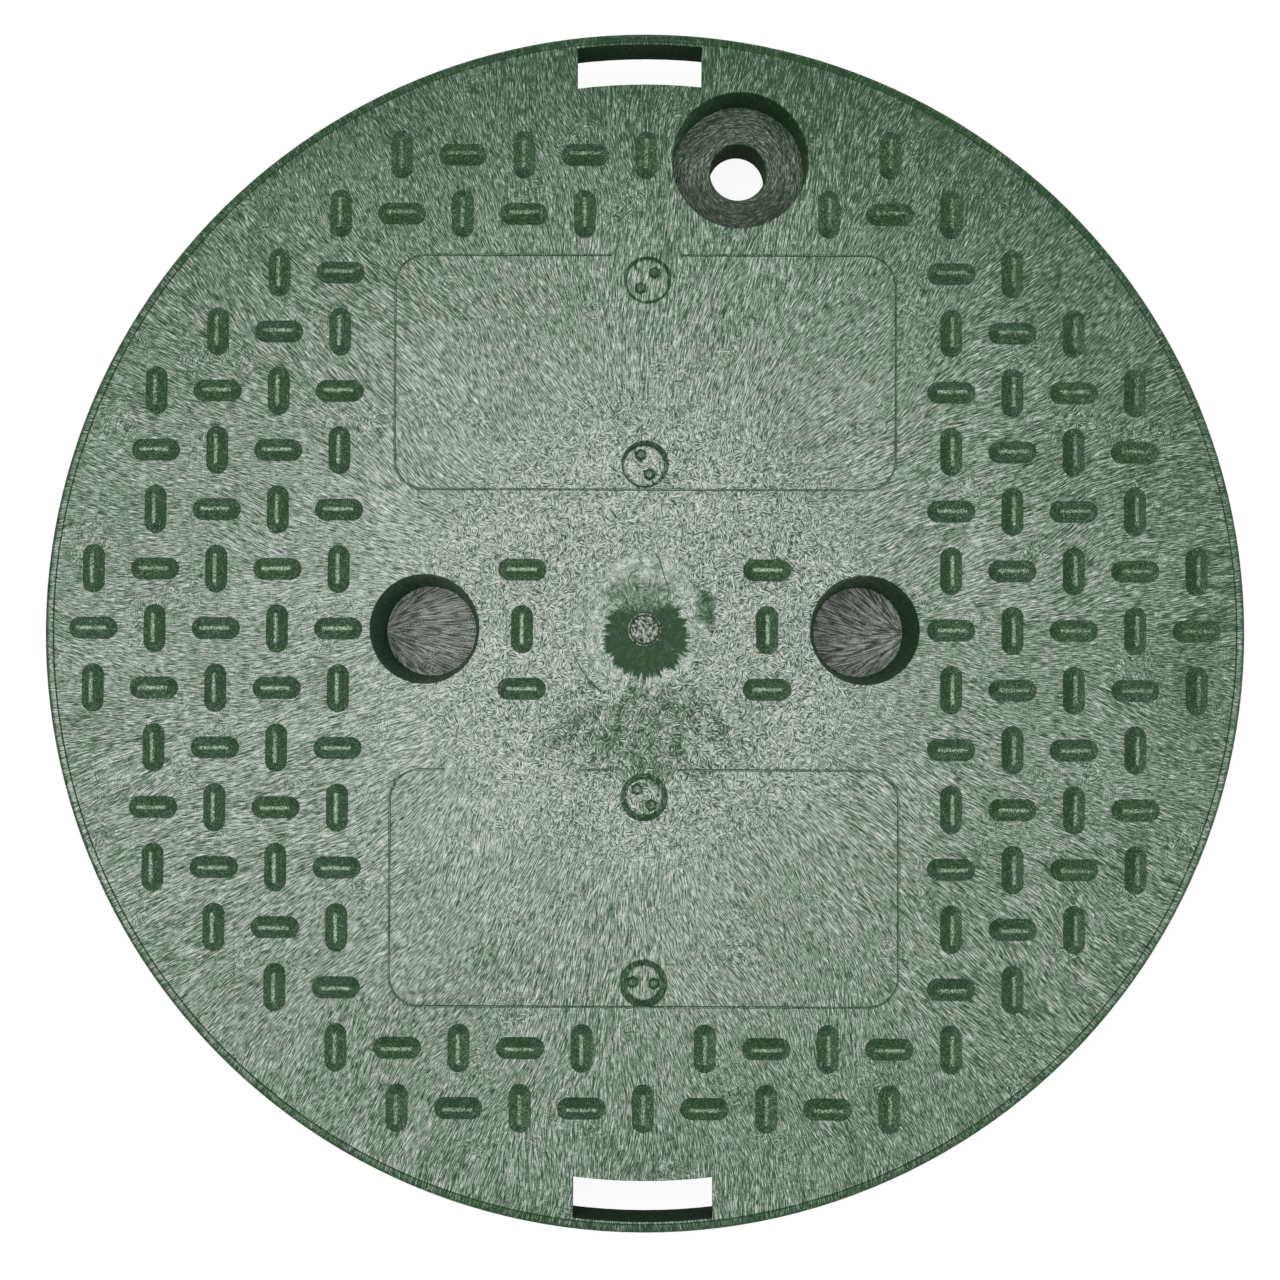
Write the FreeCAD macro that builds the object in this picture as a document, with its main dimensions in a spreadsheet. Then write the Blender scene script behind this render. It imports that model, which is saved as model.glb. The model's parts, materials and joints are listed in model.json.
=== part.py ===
"""Round valve box cover: a moulded lid with a raised tread, finger wells and a bolt recess.

The cover is one solid in millimetres, +Z up.  The origin is on the cover's axis, at the lower edge of
the inner ring, which is what the cover stands on when it lies on a flat surface.
"""
import FreeCAD, Part
import math
import os

import Sketcher

NODE = "valve_box_cover"

# Driving dimensions: alias, value in millimetres (angles in degrees, counts as they are)
SIZES = (
    ("cover_diameter", 266.7),
    ("cover_depth", 25.0),
    ("plate_thickness", 4.0),
    ("mould_draft", 1.0),
    ("skirt_depth", 13.0),
    ("skirt_wall", 2.7),
    ("rim_chamfer", 1.9),
    ("mouth_chamfer", 0.4),
    ("rim_channel", 9.09),
    ("ring_wall", 3.6),
    ("rib_depth", 11.0),
    ("rib_wall", 2.8),
    ("rib_count", 8),
    ("hub_radius", 20.0),
    ("slot_half_width", 15.4),
    ("short_slot_reach", 12.3),
    ("well_spacing", 97.5),
    ("well_radius", 12.0),
    ("well_floor_radius", 10.4),
    ("well_depth", 16.8),
    ("cup_wall", 2.5),
    ("bolt_x", 20.9),
    ("bolt_inset", 16.8),
    ("recess_radius", 15.1),
    ("recess_depth", 11.8),
    ("bolt_hole_radius", 6.35),
    ("boss_wall", 3.7),
    ("mark_near", 36.8),
    ("mark_far", 77.9),
    ("mark_radius", 5.3),
    ("mark_floor_radius", 4.4),
    ("mark_depth", 0.8),
    ("tread_pitch_x", 13.57),
    ("tread_pitch_y", 13.20),
    ("tread_length", 10.7),
    ("tread_width", 4.9),
    ("tread_height", 2.0),
    ("tread_ridge", 0.8),
    ("tread_margin", 10.35),
    ("tread_rows", 8),
    ("bare_half_width", 61.0),
    ("bare_half_height", 85.0),
    ("tread_land", 1.5),
)

# Grid places of the short bars between the wells, counted in pitches from the centre
CENTRE_BAR_COLUMN = 2
CENTRE_BAR_ROWS = 1

# Row in which the bar on the centre line is left out, at the head and the foot of the bare panels
OPEN_ROW = 7

# Share of the plate that a rib is sunk into it, so that the two join through a full section
RIB_ROOT = 0.5

# Flats that stand for the round end of a tread bar
TREAD_END_FLATS = 4

doc = FreeCAD.newDocument("valve_box_cover")
sheet = doc.addObject("Spreadsheet::Sheet", "Sizes")
for row, (alias, value) in enumerate(SIZES, start=1):
    sheet.set(f"A{row}", alias)
    sheet.set(f"B{row}", str(value))
    sheet.setAlias(f"B{row}", alias)
doc.recompute()

body = doc.addObject("PartDesign::Body", "moulded_body")


def size(expression):
    """Gives the present value of an expression of the sheet's sizes."""
    value = body.evalExpression(expression)
    return getattr(value, "Value", value)


def origin_plane(role):
    """Finds one of the body's own origin planes."""
    return next(item for item in body.Origin.OriginFeatures if item.Role == role)


def sketch_on(name, role, offset="0"):
    """Adds a sketch on an origin plane, lifted along the plane's normal by an expression."""
    sketch = body.newObject("Sketcher::SketchObject", name)
    sketch.AttachmentSupport = (origin_plane(role), [""])
    sketch.MapMode = "FlatFace"
    sketch.setExpression("AttachmentOffset.Base.z", offset)
    return sketch


def bind(sketch, kind, places, expression):
    """Adds a dimension to a sketch and ties it to an expression of the sheet's sizes."""
    index = sketch.addConstraint(Sketcher.Constraint(kind, *places, size(expression)))
    sketch.setExpression(f"Constraints[{index}]", expression)


def outline(sketch, corners):
    """Draws straight sides through corners that are pairs of expressions, and closes them."""
    points = [FreeCAD.Vector(size(x), size(y), 0) for x, y in corners]
    following = points[1:] + points[:1]
    sides = [Part.LineSegment(start, end) for start, end in zip(points, following)]
    first = sketch.addGeometry(sides)[0]
    count = len(sides)
    for index in range(count):
        side = first + index
        after = first + (index + 1) % count
        sketch.addConstraint(Sketcher.Constraint("Coincident", side, 2, after, 1))
    for index, (x, y) in enumerate(corners):
        bind(sketch, "DistanceX", (-1, 1, first + index, 1), x)
        bind(sketch, "DistanceY", (-1, 1, first + index, 1), y)


def turning_axis(sketch, x):
    """Adds an upright construction line at x, as the axis that a profile turns about."""
    place = size(x)
    line = Part.LineSegment(FreeCAD.Vector(place, 0, 0), FreeCAD.Vector(place, size(TOP), 0))
    axis = sketch.addGeometry(line, True)
    bind(sketch, "DistanceX", (-1, 1, axis, 1), x)
    bind(sketch, "DistanceX", (-1, 1, axis, 2), x)
    bind(sketch, "DistanceY", (-1, 1, axis, 1), "0")
    bind(sketch, "DistanceY", (-1, 1, axis, 2), TOP)
    return sketch, ["Axis0"]


def turned(kind, name, sketch, axis):
    """Adds a full turn of a profile to the body, as a Revolution or a Groove."""
    feature = body.newObject(kind, name)
    feature.Profile = sketch
    feature.ReferenceAxis = axis
    feature.Angle = 360.0
    doc.recompute()
    return feature


def check_cut(feature):
    """Stops the build where a cut took nothing away from the body."""
    if feature.Shape.Volume >= feature.BaseFeature.Shape.Volume:
        raise RuntimeError(f"{feature.Name} cuts nothing")


# Heights and radii that several features share
TOP = "Sizes.cover_depth"
UNDERSIDE = "Sizes.cover_depth - Sizes.plate_thickness"
LIP = "Sizes.cover_depth - Sizes.skirt_depth"
RIB_FOOT = f"{UNDERSIDE} - Sizes.rib_depth"
LEAN = "tan(Sizes.mould_draft * 1 deg)"
RIM = "Sizes.cover_diameter / 2"
RIM_TOP = f"{RIM} - Sizes.skirt_depth * {LEAN}"
SKIRT_ROOT = f"{RIM} - Sizes.skirt_wall - (Sizes.skirt_depth - Sizes.plate_thickness) * {LEAN}"
RING = f"({SKIRT_ROOT} - Sizes.rim_channel)"
RING_LEAN = f"({UNDERSIDE}) * {LEAN}"
RING_INNER = f"({RING} - Sizes.ring_wall)"
BOLT_Y = f"({RING} - Sizes.bolt_inset)"
HUB_OUTER = "Sizes.hub_radius + Sizes.rib_wall / 2"
HUB_INNER = "Sizes.hub_radius - Sizes.rib_wall / 2"


def add_shell():
    """Turns the plate, the skirt, the inner ring and the hub in one profile."""
    sketch = sketch_on("shell_profile", "XZ_Plane")
    corners = [
        ("0", TOP),
        (RIM_TOP, TOP),
        (RIM, LIP),
        (f"{RIM} - Sizes.skirt_wall", LIP),
        (SKIRT_ROOT, UNDERSIDE),
        (RING, UNDERSIDE),
        (f"{RING} - {RING_LEAN}", "0"),
        (f"{RING_INNER} + {RING_LEAN}", "0"),
        (RING_INNER, UNDERSIDE),
        (HUB_OUTER, UNDERSIDE),
        (HUB_OUTER, RIB_FOOT),
        (HUB_INNER, RIB_FOOT),
        (HUB_INNER, UNDERSIDE),
        ("0", UNDERSIDE),
    ]
    outline(sketch, corners)
    shell = turned("PartDesign::Revolution", "shell", sketch, (sketch, ["V_Axis"]))
    add_chamfer("rim_edge", shell, [RIM_TOP], "Sizes.rim_chamfer")


def top_circles(feature, radii):
    """Names a feature's circles on the top face that have one of the given radii."""
    names = []
    for index, edge in enumerate(feature.Shape.Edges, start=1):
        if not isinstance(edge.Curve, Part.Circle):
            continue
        level = math.isclose(edge.Curve.Center.z, size(TOP))
        fits = any(math.isclose(edge.Curve.Radius, size(radius)) for radius in radii)
        if level and fits:
            names.append(f"Edge{index}")
    return names


def add_chamfer(name, feature, radii, width):
    """Breaks the circles on a feature's top face that have one of the given radii."""
    chamfer = body.newObject("PartDesign::Chamfer", name)
    chamfer.Base = (feature, top_circles(feature, radii))
    chamfer.setExpression("Size", width)
    doc.recompute()
    check_cut(chamfer)


def add_ribs():
    """Adds straight ribs from the hub to the inner ring, evenly spaced round the axis."""
    sketch = sketch_on("rib_outline", "XY_Plane", RIB_FOOT)
    start = "Sizes.hub_radius"
    end = f"{RING_INNER} + Sizes.ring_wall / 3"
    half = "Sizes.rib_wall / 2"
    outline(sketch, [(start, f"-{half}"), (end, f"-{half}"), (end, half), (start, half)])
    rib = body.newObject("PartDesign::Pad", "rib")
    rib.Profile = sketch
    rib.setExpression("Length", f"Sizes.rib_depth + Sizes.plate_thickness * {RIB_ROOT}")
    doc.recompute()
    ribs = body.newObject("PartDesign::PolarPattern", "ribs")
    ribs.Originals = [rib]
    ribs.Axis = (sketch, ["N_Axis"])
    ribs.Angle = 360.0
    ribs.setExpression("Occurrences", "Sizes.rib_count")
    body.Tip = ribs
    doc.recompute()


def add_wells():
    """Adds the two tapered finger wells, each a cup under the plate with an open hollow."""
    middle = "Sizes.well_spacing / 2"
    floor = f"{TOP} - Sizes.well_depth"
    cup = sketch_on("well_cup_profile", "XZ_Plane")
    outline(cup, [
        (middle, TOP),
        (f"{middle} + Sizes.well_radius + Sizes.cup_wall", TOP),
        (f"{middle} + Sizes.well_floor_radius + Sizes.cup_wall", f"{floor} - Sizes.cup_wall"),
        (middle, f"{floor} - Sizes.cup_wall"),
    ])
    cup_solid = turned("PartDesign::Revolution", "well_cup", cup, turning_axis(cup, middle))
    hollow = sketch_on("well_hollow_profile", "XZ_Plane")
    outline(hollow, [
        (middle, TOP),
        (f"{middle} + Sizes.well_radius", TOP),
        (f"{middle} + Sizes.well_floor_radius", floor),
        (middle, floor),
    ])
    hollow_cut = turned("PartDesign::Groove", "well_hollow", hollow, turning_axis(hollow, middle))
    check_cut(hollow_cut)
    pair = body.newObject("PartDesign::Mirrored", "wells")
    pair.Originals = [cup_solid, hollow_cut]
    pair.MirrorPlane = (origin_plane("YZ_Plane"), [""])
    body.Tip = pair
    doc.recompute()


def add_bolt_seat():
    """Adds the bolt's recess and its boss, which reaches down to the foot of the inner ring."""
    middle = "Sizes.bolt_x"
    floor = f"{TOP} - Sizes.recess_depth"
    back = f"-{BOLT_Y}"
    boss = sketch_on("bolt_boss_profile", "XZ_Plane", back)
    cup_radius = f"{middle} + Sizes.recess_radius + Sizes.cup_wall"
    boss_radius = f"{middle} + Sizes.bolt_hole_radius + Sizes.boss_wall"
    outline(boss, [
        (middle, TOP),
        (cup_radius, TOP),
        (cup_radius, f"{floor} - Sizes.cup_wall"),
        (boss_radius, f"{floor} - Sizes.cup_wall"),
        (boss_radius, "0"),
        (middle, "0"),
    ])
    turned("PartDesign::Revolution", "bolt_boss", boss, turning_axis(boss, middle))
    seat = sketch_on("bolt_seat_profile", "XZ_Plane", back)
    outline(seat, [
        (middle, TOP),
        (f"{middle} + Sizes.recess_radius", TOP),
        (f"{middle} + Sizes.recess_radius - Sizes.recess_depth * {LEAN}", floor),
        (f"{middle} + Sizes.bolt_hole_radius", floor),
        (f"{middle} + Sizes.bolt_hole_radius", "0"),
        (middle, "0"),
    ])
    check_cut(turned("PartDesign::Groove", "bolt_seat", seat, turning_axis(seat, middle)))


def arc_slot(sketch, left, right, side):
    """Draws a slot between two arcs about the axis, closed by two straight ends along Y.

    side is 1 for the slot beside the bolt and -1 for the slot opposite.
    """
    inner = size(RING)
    outer = size(SKIRT_ROOT)
    low, high = size(left), size(right)
    centre = FreeCAD.Vector(0, 0, 0)
    upward = FreeCAD.Vector(0, 0, 1)

    def corner(x, radius):
        return FreeCAD.Vector(x, side * math.sqrt(radius * radius - x * x), 0)

    def arc(radius):
        angles = sorted(math.atan2(corner(x, radius).y, x) % math.tau for x in (low, high))
        return Part.ArcOfCircle(Part.Circle(centre, upward, radius), *angles)

    sketch.addGeometry([
        arc(inner),
        arc(outer),
        Part.LineSegment(corner(low, inner), corner(low, outer)),
        Part.LineSegment(corner(high, inner), corner(high, outer)),
    ])
    start, end = (2, 1) if side > 0 else (1, 2)
    for line, place in ((2, start), (3, end)):
        sketch.addConstraint(Sketcher.Constraint("Vertical", line))
        sketch.addConstraint(Sketcher.Constraint("Coincident", line, 1, 0, place))
        sketch.addConstraint(Sketcher.Constraint("Coincident", line, 2, 1, place))
    for curve, radius in ((0, RING), (1, SKIRT_ROOT)):
        sketch.addConstraint(Sketcher.Constraint("Coincident", curve, 3, -1, 1))
        bind(sketch, "Radius", (curve,), radius)
    for line, place in ((2, left), (3, right)):
        bind(sketch, "DistanceX", (-1, 1, line, 1), place)


def add_slots():
    """Cuts the two arc slots through the plate, over the channel between the ring and the skirt."""
    wide = "Sizes.slot_half_width"
    for name, right, side in (("bolt_side_slot", "Sizes.short_slot_reach", 1), ("far_slot", wide, -1)):
        sketch = sketch_on(f"{name}_outline", "XY_Plane", TOP)
        arc_slot(sketch, f"-{wide}", right, side)
        slot = body.newObject("PartDesign::Pocket", name)
        slot.Profile = sketch
        slot.Type = "ThroughAll"
        doc.recompute()
        check_cut(slot)


def add_insert_marks():
    """Sinks the round heads of the mould's insert screws into the plate, two in each bare panel."""
    floor = f"{TOP} - Sizes.mark_depth"
    for panel, side in (("back", "-"), ("front", "")):
        for name, place in ((f"{panel}_near_mark", "Sizes.mark_near"), (f"{panel}_far_mark", "Sizes.mark_far")):
            sketch = sketch_on(f"{name}_profile", "XZ_Plane", f"{side}{place}")
            outline(sketch, [
                ("0", TOP),
                ("Sizes.mark_radius", TOP),
                ("Sizes.mark_floor_radius", floor),
                ("0", floor),
            ])
            check_cut(turned("PartDesign::Groove", name, sketch, (sketch, ["V_Axis"])))


def round_mouths():
    """Yields the centre and the radius of each round mouth in the top face: (x, y, radius)."""
    well_x, well_radius = size("Sizes.well_spacing / 2"), size("Sizes.well_radius")
    yield size("Sizes.bolt_x"), size(BOLT_Y), size("Sizes.recess_radius")
    yield well_x, 0, well_radius
    yield -well_x, 0, well_radius


def clear_of_openings(x, y, reach_x, reach_y):
    """Tells whether a bar keeps its land from the round mouths and the slots of the top face."""
    land = size("Sizes.tread_land")
    for mouth_x, mouth_y, radius in round_mouths():
        gap_x = max(abs(x - mouth_x) - reach_x, 0)
        gap_y = max(abs(y - mouth_y) - reach_y, 0)
        if math.hypot(gap_x, gap_y) < radius + land:
            return False
    beside_slots = abs(x) - reach_x > size("Sizes.slot_half_width") + land
    within_ring = math.hypot(x, abs(y) + reach_y) < size(RING) - land
    return beside_slots or within_ring


def tread_places():
    """Yields the centre and direction of each tread bar: (x, y, along_x)."""
    pitch_x, pitch_y = size("Sizes.tread_pitch_x"), size("Sizes.tread_pitch_y")
    field = size(f"{RIM} - Sizes.tread_margin")
    rows = int(size("Sizes.tread_rows"))
    columns = int(field // pitch_x)
    reach = (size("Sizes.tread_length / 2"), size("Sizes.tread_width / 2"))
    bare_x, bare_y = size("Sizes.bare_half_width"), size("Sizes.bare_half_height")
    for row in range(-rows, rows + 1):
        for column in range(-columns, columns + 1):
            x, y = column * pitch_x, row * pitch_y
            along_x = (row + column) % 2 == 1
            in_field = math.hypot(x, y) <= field
            in_panel = abs(x) < bare_x and abs(y) < bare_y
            centre_bar = abs(column) == CENTRE_BAR_COLUMN and abs(row) <= CENTRE_BAR_ROWS
            left_out = column == 0 and abs(row) == OPEN_ROW
            clear = clear_of_openings(x, y, *(reach if along_x else reach[::-1]))
            if in_field and clear and not left_out and (centre_bar or not in_panel):
                yield x, y, along_x


def bar_outline(length, width, height):
    """Gives the corners of a bar's outline along X, with each round end drawn as a few flats."""
    radius = width / 2
    straight = length / 2 - radius
    corners = []
    for end in (1, -1):
        for step in range(TREAD_END_FLATS + 1):
            turn = math.pi * (step / TREAD_END_FLATS - 0.5)
            forward = straight + radius * math.cos(turn)
            corners.append(FreeCAD.Vector(end * forward, end * radius * math.sin(turn), height))
    return corners


def flat_face(corners):
    """Makes the flat face that has these corners."""
    return Part.Face(Part.makePolygon(corners + corners[:1]))


def tread_bar():
    """Makes one bar along X, with sloping sides from the plate up to a narrow ridge."""
    length, width = size("Sizes.tread_length"), size("Sizes.tread_width")
    ridge_width = size("Sizes.tread_ridge")
    foot = bar_outline(length, width, 0)
    ridge = bar_outline(length - width + ridge_width, ridge_width, size("Sizes.tread_height"))
    faces = [flat_face(foot), flat_face(ridge)]
    for index in range(len(foot)):
        before = index - 1
        faces.append(flat_face([foot[before], foot[index], ridge[index], ridge[before]]))
    bar = Part.makeSolid(Part.makeShell(faces))
    if bar.Volume < 0:
        bar.reverse()
    return bar


def add_treads():
    """Stands a bar at each place of the tread and joins them all to the body."""
    bar = tread_bar()
    upward = FreeCAD.Vector(0, 0, 1)
    bars = []
    for x, y, along_x in tread_places():
        turn = FreeCAD.Rotation(upward, 0 if along_x else 90)
        copy = bar.copy()
        copy.Placement = FreeCAD.Placement(FreeCAD.Vector(x, y, size(TOP)), turn)
        bars.append(copy)
    treads = doc.addObject("Part::Feature", "treads")
    treads.Shape = Part.makeCompound(bars)
    cover = doc.addObject("Part::MultiFuse", NODE)
    cover.Label = NODE
    cover.Shapes = [body, treads]
    doc.recompute()
    return cover


def check_model(cover):
    """Stops the build where an object failed or the cover isn't one sound solid."""
    for item in doc.Objects:
        if "Invalid" in item.State or "Error" in item.State:
            raise RuntimeError(f"{item.Name} failed: {item.State}")
    shape = cover.Shape
    if shape.isNull() or not shape.isValid() or len(shape.Solids) != 1:
        raise RuntimeError(f"{NODE} isn't one valid solid")


add_shell()
add_ribs()
add_wells()
add_bolt_seat()
add_slots()
add_insert_marks()
add_chamfer("mouth_edges", body.Tip, ["Sizes.well_radius", "Sizes.recess_radius"], "Sizes.mouth_chamfer")
valve_box_cover = add_treads()
check_model(valve_box_cover)
os.makedirs("parts", exist_ok=True)
valve_box_cover.Shape.exportStep(f"parts/{valve_box_cover.Label}.step")
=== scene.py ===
"""Dresses the moulded valve box cover: its body, tread bars, mould marks, finish, studio and camera.

Lengths are in metres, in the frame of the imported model: +Z up out of the tread face, +Y towards the slot
beside the bolt recess, and the origin on the cover's axis at the foot of the inner ring.
"""

import json
import logging
import math
from dataclasses import dataclass, replace
from enum import Enum
from functools import partial, reduce
from typing import Callable, Iterator, Optional, Sequence, Union

import bpy
from mathutils import Color, Matrix, Vector


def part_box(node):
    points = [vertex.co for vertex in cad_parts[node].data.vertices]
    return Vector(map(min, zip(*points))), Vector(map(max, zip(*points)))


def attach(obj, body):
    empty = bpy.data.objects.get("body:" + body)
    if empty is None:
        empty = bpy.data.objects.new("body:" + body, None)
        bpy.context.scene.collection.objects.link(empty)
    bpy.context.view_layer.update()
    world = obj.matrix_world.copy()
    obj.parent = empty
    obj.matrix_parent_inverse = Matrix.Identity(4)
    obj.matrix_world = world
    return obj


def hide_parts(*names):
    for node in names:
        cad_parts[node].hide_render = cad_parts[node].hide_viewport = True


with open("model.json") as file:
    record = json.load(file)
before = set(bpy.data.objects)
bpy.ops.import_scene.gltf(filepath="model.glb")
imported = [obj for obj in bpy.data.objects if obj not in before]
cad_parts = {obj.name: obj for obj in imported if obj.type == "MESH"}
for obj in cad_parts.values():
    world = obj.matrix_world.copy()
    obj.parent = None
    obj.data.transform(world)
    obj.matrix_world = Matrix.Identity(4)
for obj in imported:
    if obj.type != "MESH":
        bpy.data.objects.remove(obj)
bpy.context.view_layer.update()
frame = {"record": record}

LOG = logging.getLogger("valve_box_cover")
NODE = "valve_box_cover"
BODY = "root"
MM = 0.001
AXIS = (0.0, 0.0)
QUAD = 4
HALF = 0.5
SCREEN_WHITE = 255

Piece = bpy.types.Object
Socket = bpy.types.NodeSocket
Feed = Union[Socket, float, Sequence[float]]
Feeds = dict[Union[int, str], Feed]
Element = Union[bpy.types.MeshVertex, bpy.types.MeshPolygon]
Colour = tuple[float, float, float, float]
Screen = tuple[int, int, int]
Point = tuple[float, float]
Profile = list[Point]


def linear(colour: Screen) -> Colour:
    """Turns a colour as seen on a screen, from 0 to 255, into the linear colour that a node takes."""
    return (*Color([channel / SCREEN_WHITE for channel in colour]).from_srgb_to_scene_linear(), 1.0)


class Flow(Enum):
    """Way in which the fibres of the filled plastic lie about the point where they flowed from."""

    OUTWARD = "outward"
    AROUND = "around"


class BarLie(Enum):
    """Direction of a tread bar, as its turn about the upright axis."""

    ALONG_X = 0.0
    ALONG_Y = math.pi / 2


class Bench:
    """Modelling steps that several pieces share, done with Blender's own operators."""

    FLAT_WEIGHT = 100

    @staticmethod
    def clear() -> None:
        """Leaves edit mode and deselects every object."""
        active = bpy.context.view_layer.objects.active
        if active is not None and active.mode != "OBJECT":
            bpy.ops.object.mode_set(mode="OBJECT")
        bpy.ops.object.select_all(action="DESELECT")

    @staticmethod
    def only(piece: Piece) -> None:
        """Makes one piece the only selected object and the active one.

        Args:
            piece: the piece.
        """
        Bench.clear()
        piece.select_set(True)
        bpy.context.view_layer.objects.active = piece

    @staticmethod
    def settle(name: str) -> Piece:
        """Names the object that was just added and puts its place into its mesh.

        Args:
            name: the piece's name.

        Returns:
            The object, at the origin and unturned.
        """
        piece = bpy.context.view_layer.objects.active
        piece.name = name
        piece.data.name = name
        bpy.ops.object.transform_apply(location=True, rotation=True, scale=True)
        return piece

    @staticmethod
    def edit(kind: str) -> None:
        """Goes into edit mode with everything selected.

        Args:
            kind: what is selected, VERT, EDGE or FACE.
        """
        bpy.ops.object.mode_set(mode="EDIT")
        bpy.ops.mesh.select_mode(type=kind)
        bpy.ops.mesh.select_all(action="SELECT")

    @staticmethod
    def pick(piece: Piece, kind: str, wanted: Callable[[Element], bool]) -> None:
        """Goes into edit mode with only the wanted corners or faces selected.

        Args:
            piece: the piece, which becomes the active one.
            kind: what is selected, VERT or FACE.
            wanted: tells whether one of them is selected.
        """
        Bench.only(piece)
        Bench.edit(kind)
        bpy.ops.mesh.select_all(action="DESELECT")
        bpy.ops.object.mode_set(mode="OBJECT")
        for element in piece.data.vertices if kind == "VERT" else piece.data.polygons:
            element.select = wanted(element)
        bpy.ops.object.mode_set(mode="EDIT")

    @staticmethod
    def slide(piece: Piece, wanted: Callable[[Element], bool], move: Sequence[float]) -> None:
        """Moves some corners of a piece.

        Args:
            piece: the piece, which becomes the active one.
            wanted: tells whether a corner moves.
            move: how far it moves.
        """
        Bench.pick(piece, "VERT", wanted)
        bpy.ops.transform.translate(value=move)
        bpy.ops.object.mode_set(mode="OBJECT")

    @staticmethod
    def open_edges() -> None:
        """Selects the open edges of the active mesh, in edit mode."""
        Bench.edit("EDGE")
        bpy.ops.mesh.region_to_loop()

    @staticmethod
    def outwards() -> None:
        """Turns all faces of the mesh in edit mode outwards and leaves edit mode."""
        bpy.ops.mesh.select_all(action="SELECT")
        bpy.ops.mesh.normals_make_consistent(inside=False)
        bpy.ops.object.mode_set(mode="OBJECT")

    @staticmethod
    def close() -> None:
        """Closes the open end of the mesh in edit mode, turns its faces outwards and leaves edit mode."""
        Bench.open_edges()
        bpy.ops.mesh.edge_face_add()
        Bench.outwards()

    @staticmethod
    def turned(name: str, profile: Profile, centre: Point, steps: int) -> Piece:
        """Models a solid of revolution by drawing a circle through a profile.

        Args:
            name: the piece's name.
            profile: radius and height of each ring, from one flat end to the other.
            centre: place of the upright axis.
            steps: corners of each ring.

        Returns:
            The closed solid, with its faces outwards.
        """
        Bench.clear()
        (radius, height), *rings = profile
        bpy.ops.mesh.primitive_circle_add(
            vertices=steps, radius=radius, fill_type="NGON", location=(*centre, height)
        )
        piece = Bench.settle(name)
        Bench.open_edges()
        for next_radius, next_height in rings:
            lift = (0.0, 0.0, next_height - height)
            bpy.ops.mesh.extrude_edges_move(TRANSFORM_OT_translate={"value": lift})
            ratio = next_radius / radius
            bpy.ops.transform.resize(value=(ratio, ratio, 1.0), center_override=(*centre, next_height))
            radius, height = next_radius, next_height
        Bench.close()
        return piece

    @staticmethod
    def modify(piece: Piece, kind: str, **settings: object) -> None:
        """Adds a modifier to a piece and applies it.

        Args:
            piece: the piece that is changed.
            kind: the modifier's type.
            settings: its options by name.
        """
        Bench.only(piece)
        bpy.ops.object.modifier_add(type=kind)
        modifier = piece.modifiers[-1]
        for name, value in settings.items():
            setattr(modifier, name, value)
        bpy.ops.object.modifier_apply(modifier=modifier.name)

    @staticmethod
    def combine(piece: Piece, tool: Piece, operation: str) -> None:
        """Joins a solid to a piece, UNION, or cuts it out, DIFFERENCE, and uses the solid up."""
        Bench.modify(piece, "BOOLEAN", operation=operation, solver="EXACT", object=tool)
        bpy.data.objects.remove(tool)

    @staticmethod
    def soften(piece: Piece, angle: float) -> None:
        """Shades a piece smooth up to an angle, with its flats kept flat beside their rounded edges.

        Args:
            piece: the piece that is shaded.
            angle: the steepest edge that is shaded smooth, in radians.
        """
        Bench.only(piece)
        bpy.ops.object.shade_smooth_by_angle(angle=angle)
        Bench.modify(piece, "WEIGHTED_NORMAL", keep_sharp=True, weight=Bench.FLAT_WEIGHT)

    @staticmethod
    def join(name: str, pieces: Sequence[Piece]) -> Piece:
        """Joins separate meshes into one piece.

        Args:
            name: the joined piece's name.
            pieces: the meshes, of which the first one stays.

        Returns:
            The joined piece.
        """
        Bench.only(pieces[0])
        for piece in pieces[1:]:
            piece.select_set(True)
        bpy.ops.object.join()
        return Bench.settle(name)


def arc(centre: Point, radius: float, start: float, end: float, steps: int) -> Profile:
    """Gives the points of an arc, such as the rings of a rounded edge or a fillet in a turned profile.

    Args:
        centre: the arc's centre.
        radius: the arc's radius.
        start: first angle in degrees, from the first axis towards the second.
        end: last angle in degrees.
        steps: straight steps in the arc.

    Returns:
        The points from the first angle to the last.
    """
    angles = (math.radians(start + (end - start) * step / steps) for step in range(steps + 1))
    across, up = centre
    return [(across + radius * math.cos(angle), up + radius * math.sin(angle)) for angle in angles]


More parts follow.
